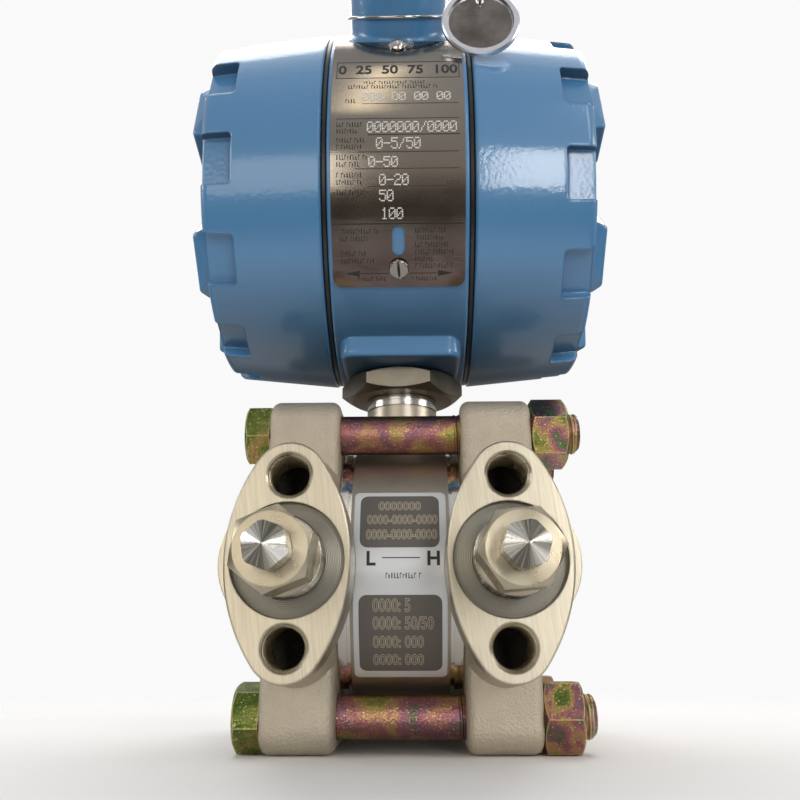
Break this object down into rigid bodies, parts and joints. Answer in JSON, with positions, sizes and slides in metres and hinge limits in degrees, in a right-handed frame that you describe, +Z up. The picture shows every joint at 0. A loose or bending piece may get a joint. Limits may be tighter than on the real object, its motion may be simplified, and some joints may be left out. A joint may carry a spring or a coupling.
{
  "type": "differential pressure transmitter",
  "caption": "Field differential pressure transmitter: painted two-cover electronics drum on a neck above a sensor module clamped between two bolted process flanges with vent valves.",
  "frame": {"origin": "on the base plane, in the middle of the footprint from the vent valve tips to the back of the drum; the neck's axis stands 16.45 mm behind it", "axes": "+Z up along the neck, -Y the front with nameplate and vent valves, X along the drum and the flange bolts"},
  "size_m": [0.1204, 0.1481, 0.2298],
  "materials": {
    "blue_paint": "gloss",
    "cast_stainless": "bead blasted",
    "blasted_stainless": "satin",
    "turned_stainless": "turned",
    "bright_stainless": "polished",
    "plate_stainless": "polished",
    "zinc_plate": "iridescent chromate",
    "black_rubber": "satin",
    "white_seal": "matte",
    "label_foil": "satin",
    "board_green": "satin",
    "black_plastic": "matte",
    "brass": "satin"
  },
  "bodies": {
    "base": {"high_flange": "cast_stainless", "low_flange": "cast_stainless", "high_process_seal": "white_seal", "low_process_seal": "white_seal", "high_diaphragm": "bright_stainless", "low_diaphragm": "bright_stainless", "sensor_module": "blasted_stainless", "module_label": "label_foil", "neck_header": "bright_stainless", "flange_bolts": "zinc_plate", "flange_nuts": "zinc_plate", "high_vent_body": "turned_stainless", "low_vent_body": "turned_stainless"},
    "housing": {"housing_body": "blue_paint", "circuit_cover_seal": "black_rubber", "terminal_cover_seal": "black_rubber", "nameplate": "plate_stainless", "nameplate_dome_screw": "bright_stainless", "nameplate_slotted_screw": "bright_stainless", "conduit_plug": "turned_stainless", "round_tag": "bright_stainless", "tag_wire": "bright_stainless", "inner_board": "board_green", "outer_board": "board_green", "board_spacers": "brass", "board_screws": "bright_stainless", "board_parts": "black_plastic", "terminal_block": "black_plastic", "terminal_plates": "brass", "terminal_screws": "bright_stainless"},
    "circuit_cover": {"circuit_cover": "blue_paint"},
    "terminal_cover": {"terminal_cover": "blue_paint"},
    "lock_nut": {"lock_nut": "turned_stainless"},
    "high_vent_stem": {"high_vent_stem": "turned_stainless"},
    "low_vent_stem": {"low_vent_stem": "turned_stainless"}
  },
  "joints": [
    {"name": "housing_turn", "type": "hinge", "parent": "base", "child": "housing", "pos_m": [0, 0.01645, 0.112], "axis": [0, 0, 1], "range_deg": [-90, 90]},
    {"name": "lock_nut_turn", "type": "hinge", "parent": "base", "child": "lock_nut", "pos_m": [0, 0.01645, 0.105], "axis": [0, 0, -1], "range_deg": [0, 270]},
    {"name": "circuit_cover_turn", "type": "hinge", "parent": "housing", "child": "circuit_cover", "pos_m": [-0.04, 0.01645, 0.167], "axis": [-1, 0, 0], "range_deg": [0, 330]},
    {"name": "terminal_cover_turn", "type": "hinge", "parent": "housing", "child": "terminal_cover", "pos_m": [0.04, 0.01645, 0.167], "axis": [1, 0, 0], "range_deg": [0, 330]},
    {"name": "high_vent_turn", "type": "hinge", "parent": "base", "child": "high_vent_stem", "pos_m": [-0.027, -0.05355, 0.047], "axis": [0, -1, 0], "range_deg": [0, 180]},
    {"name": "low_vent_turn", "type": "hinge", "parent": "base", "child": "low_vent_stem", "pos_m": [0.027, -0.05355, 0.047], "axis": [0, -1, 0], "range_deg": [0, 180]}
  ]
}
